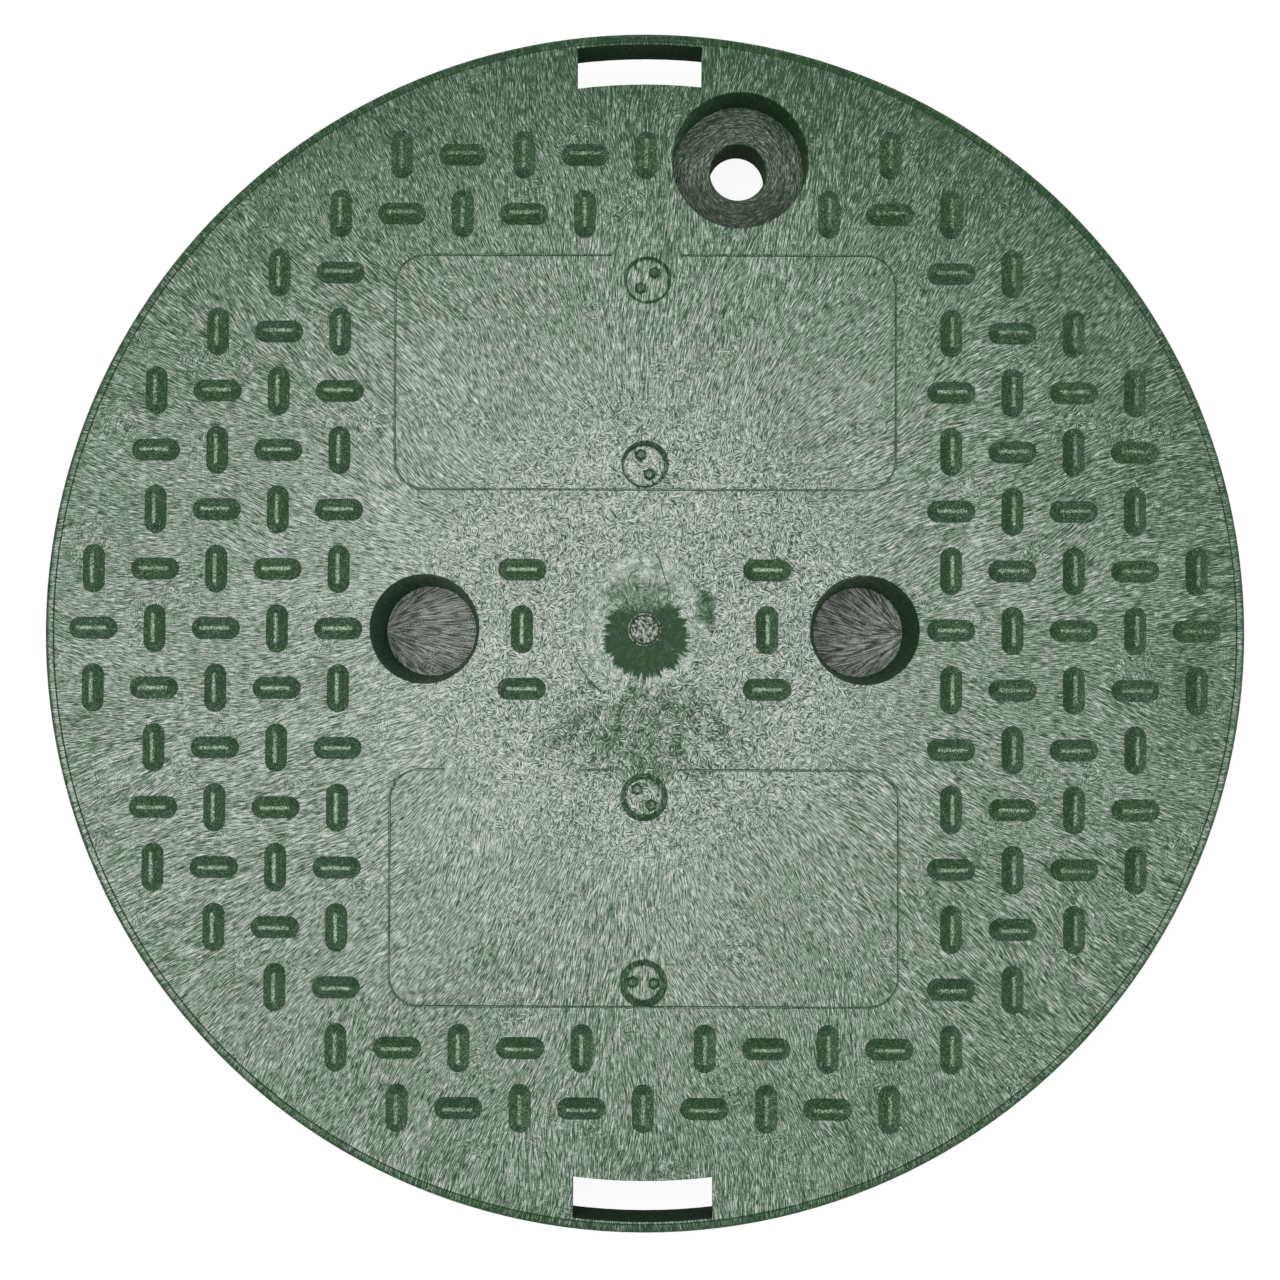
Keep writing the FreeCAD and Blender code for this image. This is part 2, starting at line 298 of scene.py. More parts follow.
class Graph:
    """Adds nodes to one shader tree and joins them, so that a finish reads as a list of steps."""

    def __init__(self, owner: Union[bpy.types.Material, bpy.types.World]) -> None:
        """Gives a new material or world an empty tree.

        Args:
            owner: the material or world.
        """
        owner.use_nodes = True
        self.tree = owner.node_tree
        self.tree.nodes.clear()

    def node(self, kind: str, feeds: Optional[Feeds] = None, **settings: object) -> bpy.types.Node:
        """Adds a node.

        Args:
            kind: the node's type.
            feeds: what its sockets take, by their names or numbers.
            settings: its options by name.

        Returns:
            The node.
        """
        added = self.tree.nodes.new(kind)
        for name, value in settings.items():
            setattr(added, name, value)
        for key, value in (feeds or {}).items():
            self.feed(added.inputs[key], value)
        return added

    def feed(self, socket: Socket, value: Feed) -> None:
        """Links a socket to another one, or sets it to a constant.

        Args:
            socket: the socket that takes the value.
            value: another node's socket, or the constant.
        """
        if isinstance(value, bpy.types.NodeSocket):
            self.tree.links.new(value, socket)
        else:
            socket.default_value = value

    def show(self, kind: str, shader: bpy.types.Node) -> None:
        """Ends the tree in an output node of the given type."""
        self.node(kind, {"Surface": shader.outputs[0]})

    def math(self, operation: str, *terms: Feed) -> Socket:
        """Adds a Math node and gives its result."""
        return self.node("ShaderNodeMath", dict(enumerate(terms)), operation=operation).outputs[0]

    def total(self, *terms: Feed) -> Socket:
        """Adds up any number of values."""
        return reduce(partial(self.math, "ADD"), terms)

    def product(self, *terms: Feed) -> Socket:
        """Multiplies any number of values."""
        return reduce(partial(self.math, "MULTIPLY"), terms)

    def vector(self, operation: str, *terms: Feed) -> Socket:
        """Adds a Vector Math node.

        Args:
            operation: what it does.
            terms: the vectors, or a vector and its factor for SCALE.

        Returns:
            The vector, or the value of a length or a dot product.
        """
        keys = ("Vector", "Scale") if operation == "SCALE" else range(len(terms))
        added = self.node("ShaderNodeVectorMath", dict(zip(keys, terms)), operation=operation)
        return added.outputs["Value" if operation in ("LENGTH", "DOT_PRODUCT") else "Vector"]

    def split(self, value: Socket) -> list[Socket]:
        """Gives the X, Y and Z of a vector."""
        return list(self.node("ShaderNodeSeparateXYZ", {0: value}).outputs)

    def upright(self, height: Feed) -> Socket:
        """Gives a vector that points straight up."""
        return self.node("ShaderNodeCombineXYZ", {"Z": height}).outputs[0]

    def flat(self, place: Socket) -> Socket:
        """Gives a place without its height."""
        return self.vector("MULTIPLY", place, (1.0, 1.0, 0.0))

    def turned(self, place: Socket, angle: Socket, back: bool = False) -> Socket:
        """Turns a place about the upright axis by an angle, or back by it."""
        feeds = {"Vector": place, "Angle": angle}
        return self.node("ShaderNodeVectorRotate", feeds, rotation_type="Z_AXIS", invert=back).outputs[0]

    def spokes(self, flat: Socket, around: float, along: float) -> Socket:
        """Gives places in which a noise is drawn out into spokes from the axis.

        Args:
            flat: the place without its height.
            around: how fast the noise changes round the axis.
            along: how fast it changes along a spoke.

        Returns:
            The place that the noise reads.
        """
        outward = self.vector("NORMALIZE", flat)
        return self.vector("ADD", self.vector("SCALE", outward, around), self.vector("SCALE", flat, along))

    def noise(self, place: Feed, scale: float, detail: float = 1.0, roughness: float = 0.5,
              curl: float = 0.0) -> Socket:
        """Adds a Noise Texture.

        Args:
            place: the place that it reads.
            scale: how fast it changes.
            detail: how many finer noises are added to it.
            roughness: how strong those are.
            curl: how far they bend it.

        Returns:
            Its grey value, about a half.
        """
        feeds = {"Vector": place, "Scale": scale, "Detail": detail, "Roughness": roughness,
                 "Distortion": curl}
        return self.node("ShaderNodeTexNoise", feeds, noise_dimensions="3D").outputs["Fac"]

    def waves(self, place: Feed, detail: float, roughness: float) -> Socket:
        """Gives a noise of unit scale about zero."""
        return self.math("SUBTRACT", self.noise(place, 1.0, detail, roughness), HALF)

    def fade(self, value: Feed, low: float, high: float, start: float = 0.0, end: float = 1.0) -> Socket:
        """Maps the span from low to high smoothly onto the one from start to end."""
        feeds = dict(enumerate((value, low, high, start, end)))
        return self.node("ShaderNodeMapRange", feeds, interpolation_type="SMOOTHSTEP").outputs[0]

    def mix(self, share: Feed, first: Feed, second: Feed) -> Socket:
        """Mixes two values by the second one's share."""
        return self.node("ShaderNodeMix", {0: share, 2: first, 3: second}, data_type="FLOAT").outputs[0]

    def mix_colours(self, share: Feed, first: Feed, second: Feed) -> Socket:
        """Mixes two colours by the second one's share."""
        return self.node("ShaderNodeMix", {0: share, 6: first, 7: second}, data_type="RGBA").outputs[2]

    def ramp(self, value: Feed, colours: Sequence[Colour]) -> Socket:
        """Adds a Color Ramp.

        Args:
            value: a value from 0 to 1.
            colours: the ramp's colours, evenly spaced.

        Returns:
            The value's colour.
        """
        added = self.node("ShaderNodeValToRGB", {0: value})
        stops = added.color_ramp.elements
        while len(stops) < len(colours):
            stops.new(HALF)
        for index, colour in enumerate(colours):
            stops[index].position = index / (len(colours) - 1)
            stops[index].color = colour
        return added.outputs[0]


@dataclass(frozen=True)
class Blot:
    """Patch of a finish with a tone and a calmer grain of its own, placed and sized in millimetres."""

    x: float
    y: float
    wide: float
    high: float
    tone: float
    soft: float
    ragged: float
    calm: float


@dataclass(frozen=True)
class FibrePlastic:
    """Green plastic filled with pale short fibres, which lie along the flow of the melt.

    Tones run from 0, bare dark resin, to 1, a pale bundle of fibres, and also carry painted light: painted
    sheen over the face, painted highlight and shade on the rim's rounded edge, and painted shade on sloping
    faces and in the wells.
    Lengths are in millimetres, and most pairs give where a fade starts and where it ends.
    """

    name: str
    flow: Flow = Flow.OUTWARD
    source: Point = (0.0, 0.0)
    sectors: int = 20
    sector_gap: float = 3.7
    crossfade: Point = (0.17, 0.33)
    fibre_pitch: float = 0.17
    fibre_length: float = 2.3
    fibre_roughness: float = 0.8
    eddy_pitch: float = 28.0
    eddy_turn: float = 0.95
    tuft_pitch: float = 1.4
    tuft_length: float = 1.3
    tuft_gap: float = 40.0
    tuft_gain: float = 1.35
    clump_pitch: float = 1.3
    clump_roughness: float = 0.9
    clump_curl: float = 0.6
    clump_gain: float = 0.34
    felt_level: float = -0.345
    felt_core: Point = (38.0, 66.0)
    felt_share: float = 0.85
    tangle_pitch: float = 13.0
    tangle_noise: Point = (0.52, 0.74)
    tangle_share: Point = (0.20, 0.60)
    contrast: float = 3.6
    tone: float = 0.595
    # Slow drift of the tone, partly the fibres' own tone and partly painted sheen: darker to the right,
    # towards the sides and the ends, and by the rim on the bolt's side.
    tone_right: float = -0.09
    tone_sides: float = -0.22
    tone_ends: float = -0.40
    tone_bolt_side: float = -0.15
    cloud_pitch: float = 22.0
    cloud_tone: float = 0.26
    streak_count: float = 36.0
    streak_length: float = 24.0
    streak_start: float = 0.55
    rim_streaks: float = 0.5
    # Painted light on the rim's rounded edge: where its band starts and ends, painted shade at the ends,
    # painted highlight at the sides and how that highlight leans towards -Y.
    rim_light_band: Point = (0.962, 0.968)
    rim_shade_ends: float = -0.25
    rim_highlight_sides: float = 0.33
    rim_highlight_lean: float = -0.9
    ring_pitch: float = 1.6
    ring_breaks: float = 1.4
    ring_tone: float = 0.9
    ring_start: Point = (8.5, 11.0)
    ring_end: Point = (14.0, 20.0)
    blots: tuple[Blot, ...] = ()
    blot_slope: Point = (0.0, 0.5)
    ragged_count: float = 6.0
    ragged_along: float = 0.12
    # Painted shade on sloping faces: where the slope starts to count, their tone, and how it changes with
    # their facing.
    wall_shade_slope: Point = (0.74, 0.97)
    wall_shade_tone: float = 0.15
    wall_shade_facing: Point = (0.07, -0.22)
    wall_grain: float = 0.7
    resin: Screen = (22, 60, 26)
    fibre: Screen = (208, 211, 207)
    tone_steps: int = 6
    roughness: float = 0.70
    fibre_polish: float = -0.25
    bump_scale: float = 1.1
    bump_depth: float = 0.05
    bump_strength: float = 0.3
    refraction: float = 1.46
    specular: float = 0.35
    reach: float = 133.35

    def colours(self) -> list[Colour]:
        """Gives the tones from resin to fibre.

        Returns:
            The linear colours, evenly spaced as the eye sees them.
        """
        pairs = list(zip(self.resin, self.fibre))
        shares = [step / (self.tone_steps - 1) for step in range(self.tone_steps)]
        blends = [tuple(round(dark + (pale - dark) * share) for dark, pale in pairs) for share in shares]
        return [linear(blend) for blend in blends]

    def heading(self, graph: Graph, place: Socket) -> Socket:
        """Gives the direction of the fibres, which swerves in slow eddies.

        Args:
            graph: the material's nodes.
            place: the place from the flow's source, in millimetres.

        Returns:
            The direction, counted in sectors.
        """
        right, back, _ = graph.split(place)
        angle = graph.math("ARCTAN2", back, right)
        if self.flow is Flow.AROUND:
            angle = graph.math("ADD", angle, math.pi / 2)
        eddy = graph.noise(place, 1 / self.eddy_pitch, detail=2.0)
        swerve = graph.math("MULTIPLY_ADD", eddy, 2 * self.eddy_turn, -self.eddy_turn)
        return graph.product(graph.math("ADD", angle, swerve), self.sectors / math.tau)

    def threads(self, graph: Graph, turned: Socket, length: float, apart: Socket) -> Socket:
        """Draws parallel strokes along a direction.

        Args:
            graph: the material's nodes.
            turned: the place, turned so that the strokes lie along X.
            length: the strokes' length.
            apart: shift that sets these strokes apart from those in other directions.

        Returns:
            A value about a half, higher on a fibre.
        """
        along, across = 1 / length, 1 / self.fibre_pitch
        drawn = graph.vector("MULTIPLY", turned, (along, across, along))
        return graph.noise(graph.vector("ADD", drawn, apart), 1.0, 1.0, self.fibre_roughness)

    def strokes(self, graph: Graph, place: Socket, sector: Socket, shift: float) -> Socket:
        """Draws straight strokes, each sector along its own direction.

        Args:
            graph: the material's nodes.
            place: the place from the flow's source, in millimetres.
            sector: whole number of the sector.
            shift: how far the sector's direction is from its number, in sectors.

        Returns:
            A value about a half, higher on a fibre.
        """
        angle = graph.product(graph.math("ADD", sector, shift), math.tau / self.sectors)
        own = graph.math("FLOORED_MODULO", sector, float(self.sectors))
        apart = graph.upright(graph.product(graph.math("ADD", own, shift), self.sector_gap))
        return self.threads(graph, graph.turned(place, angle, back=True), self.fibre_length, apart)

    def felt(self, graph: Graph, place: Socket) -> Socket:
        """Draws small tufts of strokes, each of which lies its own way.

        Args:
            graph: the material's nodes.
            place: the place from the flow's source, in millimetres.

        Returns:
            A value about a half, higher on a fibre.
        """
        tufts = graph.node("ShaderNodeTexVoronoi", {"Vector": place, "Scale": 1 / self.tuft_pitch},
                           voronoi_dimensions="2D", feature="F1")
        chance = tufts.outputs["Color"]
        angle = graph.product(graph.split(chance)[0], math.pi)
        apart = graph.vector("SCALE", chance, self.tuft_gap)
        threads = self.threads(graph, graph.turned(place, angle), self.tuft_length, apart)
        clumps = graph.noise(place, 1 / self.clump_pitch, 2.0, self.clump_roughness, self.clump_curl)
        level = graph.math("MULTIPLY_ADD", clumps, self.clump_gain, self.felt_level)
        return graph.math("MULTIPLY_ADD", threads, self.tuft_gain, level)

    def grain(self, graph: Graph, place: Socket) -> Socket:
        """Crossfades two sets of strokes, so that no sector shows an edge, and felts them at the core.

        Args:
            graph: the material's nodes.
            place: the place on the cover, in millimetres.

        Returns:
            A value about a half, higher on a fibre.
        """
        centred = graph.vector("SUBTRACT", place, (*self.source, 0.0))
        heading = self.heading(graph, centred)
        first = self.strokes(graph, centred, graph.math("FLOOR", heading), HALF)
        second = self.strokes(graph, centred, graph.math("FLOOR", graph.math("ADD", heading, HALF)), 0.0)
        from_middle = graph.math("PINGPONG", heading, HALF)
        along = graph.mix(graph.fade(from_middle, *self.crossfade), second, first)
        radius = graph.vector("LENGTH", graph.flat(centred))
        core = graph.fade(radius, *self.felt_core, self.felt_share, 0.0)
        drift = graph.noise(centred, 1 / self.tangle_pitch, detail=2.0)
        tangle = graph.fade(drift, *self.tangle_noise, *self.tangle_share)
        return graph.mix(graph.math("MAXIMUM", core, tangle), along, self.felt(graph, centred))

    def slow_tone(self, graph: Graph, place: Socket) -> Socket:
        """Gives the slow drift of the tone over the cover, partly the fibres' own tone and partly painted
        sheen, with dark streaks towards its rim and painted highlight and shade on the rim's rounded edge.

        Args:
            graph: the material's nodes.
            place: the place on the cover, in millimetres.

        Returns:
            The tone of a level face.
        """
        flat = graph.flat(place)
        right, back, _ = graph.split(graph.vector("SCALE", flat, 1 / self.reach))
        sides, ends = graph.product(right, right), graph.product(back, back)
        rim = graph.total(sides, ends)
        clouds = graph.noise(place, 1 / self.cloud_pitch, detail=3.0, roughness=0.6)
        streak = graph.waves(graph.spokes(flat, self.streak_count, 1 / self.streak_length),
                             detail=2.0, roughness=0.6)
        # Painted highlight on the rim's rounded edge at the sides, stronger towards -Y, and painted shade
        # at its ends.
        leaning = graph.math("MULTIPLY_ADD", back, self.rim_highlight_lean, 1.0)
        far_sides = graph.product(sides, sides, leaning)
        edge = graph.math("MULTIPLY_ADD", far_sides, self.rim_highlight_sides, self.rim_shade_ends)
        return graph.total(
            self.tone,
            # partly painted sheen: paler on the left and in the middle, darker towards the sides, the ends
            # and the bolt's side of the rim
            graph.product(right, self.tone_right),
            graph.product(sides, self.tone_sides),
            graph.product(ends, self.tone_ends),
            graph.product(rim, back, self.tone_bolt_side),
            graph.math("MULTIPLY_ADD", clouds, self.cloud_tone, -self.cloud_tone / 2),
            # painted highlight and shade on the rim's rounded edge
            graph.product(edge, graph.fade(rim, *self.rim_light_band)),
            graph.product(streak, graph.fade(rim, self.streak_start, 1.0, 0.0, self.rim_streaks)),
        )

    def rings(self, graph: Graph, flat: Socket) -> Socket:
        """Gives the faint broken rings of the melt round the gate.

        Args:
            graph: the material's nodes.
            flat: the place without its height, in millimetres.

        Returns:
            What the rings add to the tone.
        """
        radius = graph.vector("LENGTH", flat)
        out = graph.upright(graph.product(radius, 1 / self.ring_pitch))
        around = graph.vector("SCALE", graph.vector("NORMALIZE", flat), self.ring_breaks)
        waves = graph.waves(graph.vector("ADD", around, out), detail=2.0, roughness=0.6)
        ending = graph.fade(radius, *self.ring_end, self.ring_tone, 0.0)
        return graph.product(waves, graph.product(graph.fade(radius, *self.ring_start), ending))

    def blotted(self, graph: Graph, place: Socket, upward: Socket, tone: Socket) -> tuple[Socket, Feed]:
        """Lays the smooth blots over the tone of the upper face.

        Args:
            graph: the material's nodes.
            place: the place on the cover, in millimetres.
            upward: how far the surface faces up, from -1 to 1.
            tone: the tone without blots.

        Returns:
            The tone with the blots, and how much of the grain shows through them.
        """
        flat = graph.flat(place)
        ragged = graph.waves(graph.spokes(flat, self.ragged_count, self.ragged_along),
                             detail=3.0, roughness=0.7)
        above = graph.fade(upward, *self.blot_slope)
        calm: Feed = 1.0
        for blot in self.blots:
            inside = graph.vector("SUBTRACT", flat, (blot.x, blot.y, 0.0))
            inside = graph.vector("MULTIPLY", inside, (1 / blot.wide, 1 / blot.high, 0.0))
            edge = graph.math("MULTIPLY_ADD", ragged, 2 * blot.ragged, graph.vector("LENGTH", inside))
            share = graph.product(above, graph.fade(edge, 1 - blot.soft, 1 + blot.soft, 1.0, 0.0))
            tone = graph.mix(share, tone, graph.math("MULTIPLY_ADD", ragged, 2 * blot.ragged, blot.tone))
            calm = graph.mix(share, calm, blot.calm)
        return graph.total(tone, self.rings(graph, flat)), calm

    def shaded_walls(self, graph: Graph, place: Socket, normal: Socket) -> Socket:
        """Gives the tone of sloping sides as painted shade: darker than level faces, darkest where they
        face in towards the axis and palest where they face round it.

        Args:
            graph: the material's nodes.
            place: the place on the cover, in millimetres.
            normal: the direction that the surface faces.

        Returns:
            The tone of a sloping face.
        """
        facing = graph.vector("DOT_PRODUCT", graph.vector("NORMALIZE", graph.flat(place)), normal)
        once, twice = self.wall_shade_facing
        across = graph.product(facing, graph.math("MULTIPLY_ADD", facing, twice, once))
        return graph.total(across, self.wall_shade_tone)

    def material(self) -> bpy.types.Material:
        """Builds the finish.

        Returns:
            The material, drawn from Object coordinates and the slope of the surface.
        """
        made = bpy.data.materials.new(self.name)
        graph = Graph(made)
        coordinates = graph.node("ShaderNodeTexCoord")
        place = graph.vector("SCALE", coordinates.outputs["Object"], 1 / MM)
        normal = coordinates.outputs["Normal"]
        upward = graph.split(normal)[2]
        grain = self.grain(graph, place)
        swing = graph.math("MULTIPLY_ADD", grain, self.contrast, -self.contrast / 2)
        flat_tone = self.slow_tone(graph, place)
        if self.blots:
            flat_tone, calm = self.blotted(graph, place, upward, flat_tone)
            swing = graph.product(swing, calm)
        # Painted shade: sloping faces take the darker wall tone, level faces and ridges the paler flat
        # tone.
        level = graph.fade(graph.math("ABSOLUTE", upward), *self.wall_shade_slope)
        tone = graph.total(
            graph.mix(level, self.shaded_walls(graph, place, normal), flat_tone),
            graph.product(swing, graph.fade(level, 0.0, 1.0, self.wall_grain, 1.0)),
        )
        bump = graph.node("ShaderNodeBump", {
            "Strength": self.bump_strength,
            "Distance": self.bump_depth * MM,
            "Height": graph.noise(place, self.bump_scale),
        })
        surface = graph.node("ShaderNodeBsdfPrincipled", {
            "IOR": self.refraction,
            "Specular IOR Level": self.specular,
            "Base Color": graph.ramp(tone, self.colours()),
            "Roughness": graph.math("MULTIPLY_ADD", grain, self.fibre_polish, self.roughness),
            "Normal": bump.outputs[0],
        })
        graph.show("ShaderNodeOutputMaterial", surface)
        return made


COVER_PLASTIC = FibrePlastic("green_fibre_plastic", blots=(
    Blot(-1.5, 1.0, 14.5, 14.0, tone=0.67, soft=0.18, ragged=0.2, calm=0.55),
    Blot(0.5, -23.5, 19.0, 9.5, tone=0.31, soft=0.55, ragged=0.7, calm=0.9),
    Blot(0.0, 11.0, 8.6, 6.6, tone=0.68, soft=0.30, ragged=0.5, calm=0.35),
    Blot(13.6, 4.8, 2.2, 3.4, tone=0.26, soft=0.35, ragged=0.5, calm=0.4),
    Blot(0.3, -1.6, 9.2, 8.8, tone=-0.05, soft=0.06, ragged=0.34, calm=0.30),
    Blot(-1.0, 7.4, 7.4, 3.2, tone=0.36, soft=0.60, ragged=0.5, calm=0.5),
))
# Tread bars: paler level ridges and darker sloping sides, through the painted shade of sloping faces.
TREAD_PLASTIC = FibrePlastic(
    "tread_plastic", contrast=2.6, wall_grain=0.8, tone=0.63, wall_shade_tone=0.10, felt_core=(150.0, 160.0),
    tuft_pitch=0.8, tuft_length=0.5, resin=(24, 57, 26), fibre=(190, 208, 188))
PEG_PLASTIC = FibrePlastic("insert_peg_plastic", contrast=2.0, tone=0.34)
LINE_PLASTIC = FibrePlastic("flow_line_plastic", contrast=1.0, tone=0.30)
STUB_PLASTIC = FibrePlastic(
    "gate_stub_plastic", fibre_pitch=0.7, contrast=3.0, tone=0.66,
    resin=(14, 22, 14), fibre=(160, 174, 159))
FLOOR_PLASTIC = FibrePlastic(
    "floor_fibres", felt_core=(0.0, 1.0), tone_right=0.0, tone_sides=0.0, tone_ends=0.0, tone_bolt_side=0.0,
    rim_streaks=0.0)
# Well floors: their own lie of fibres, with tones set for each well and darkened as painted shade.
WELL_PLASTIC = replace(
    FLOOR_PLASTIC, name="well_floor_fibres_and_shade", eddy_turn=0.8, fibre_length=4.5, contrast=4.6,
    resin=(36, 48, 37), fibre=(204, 208, 203))
RECESS_PLASTIC = replace(
    FLOOR_PLASTIC, name="recess_floor_fibres", flow=Flow.AROUND, eddy_turn=1.3, tone=0.24,
    resin=(30, 50, 32), fibre=(192, 201, 190))
RECESS_SHADE = Blot(1.0, -10.0, 15.0, 5.5, tone=0.10, soft=0.6, ragged=0.3, calm=0.8)


def opening_centre(name: str) -> Point:
    """Gives the middle of one of the record's openings.

    Args:
        name: the opening's name.

    Returns:
        The middle, seen from above.
    """
    openings = frame["record"]["physics"]["openings"]
    low, high = next(item["box_m"] for item in openings if item["name"] == name)
    return (low[0] + high[0]) / 2, (low[1] + high[1]) / 2


def mount_place(name: str) -> Point:
    """Gives the place of one of the record's mounts, seen from above."""
    place = next(item["pos_m"] for item in frame["record"]["mounts"] if item["name"] == name)
    return place[0], place[1]


@dataclass
class InsertMark:
    """Sunken round head of a screw that held a mould insert, with two pegs from its spanner holes."""

    y: float
    wall: float
    turn: float
    x: float = 0.0
    floor_shift: Point = (0.0, 0.0)
    radius: float = 5.3 * MM
    steepness: float = 1.1
    groove_width: float = 0.5 * MM
    groove_depth: float = 0.18 * MM
    peg_spread: float = 2.35 * MM
    peg_radius: float = 1.45 * MM
    peg_height: float = 0.7 * MM
    peg_sunk: float = 0.2 * MM
    peg_crown: tuple[Point, ...] = ((0.55, 0.9), (0.40, 1.0))
    peg_sides: int = 6
    steps: int = 48

    @property
    def depth(self) -> float:
        """How far the head is sunk."""
        return self.wall * self.steepness

    def cutter(self, top: float) -> Piece:
        """Models the solid that cuts the sunken head out of the plate.

        Args:
            top: height of the plate's face.

        Returns:
            The cutting solid.
        """
        inner = self.radius - self.wall
        floor = top - self.depth
        profile = [
            (self.radius + MM, top + MM),
            (self.radius, top),
            (inner, floor),
            (inner - self.groove_width / 2, floor - self.groove_depth),
            (inner - self.groove_width, floor),
        ]
        solid = Bench.turned("insert_head", profile, (self.x, self.y), self.steps)
        Bench.slide(solid, lambda corner: corner.co.z < top - self.depth / 2, (*self.floor_shift, 0.0))
        return solid

    def pegs(self, top: float) -> list[Piece]:
        """Models the two six-sided pegs that stand on the sunken head.

        Args:
            top: height of the plate's face.

        Returns:
            The two pegs.
        """
        floor = top - self.depth
        profile = [(self.peg_radius, floor - self.peg_sunk), (self.peg_radius, floor)]
        for wide, high in self.peg_crown:
            profile.append((self.peg_radius * wide, floor + self.peg_height * high))
        across = self.peg_spread * math.cos(self.turn), self.peg_spread * math.sin(self.turn)
        centres = [(self.x + side * across[0], self.y + side * across[1]) for side in (1, -1)]
        return [Bench.turned("insert_peg", profile, centre, self.peg_sides) for centre in centres]


INSERT_MARKS = (
    InsertMark(y=77.7 * MM, wall=0.42 * MM, turn=math.radians(47), x=0.4 * MM),
    InsertMark(y=36.7 * MM, wall=0.6 * MM, turn=math.radians(-66),
               floor_shift=(-0.22 * MM, -0.28 * MM), steepness=1.8),
    InsertMark(y=-37.1 * MM, wall=1.05 * MM, turn=math.radians(-48)),
    InsertMark(y=-78.1 * MM, wall=1.25 * MM, turn=math.radians(-4)),
)


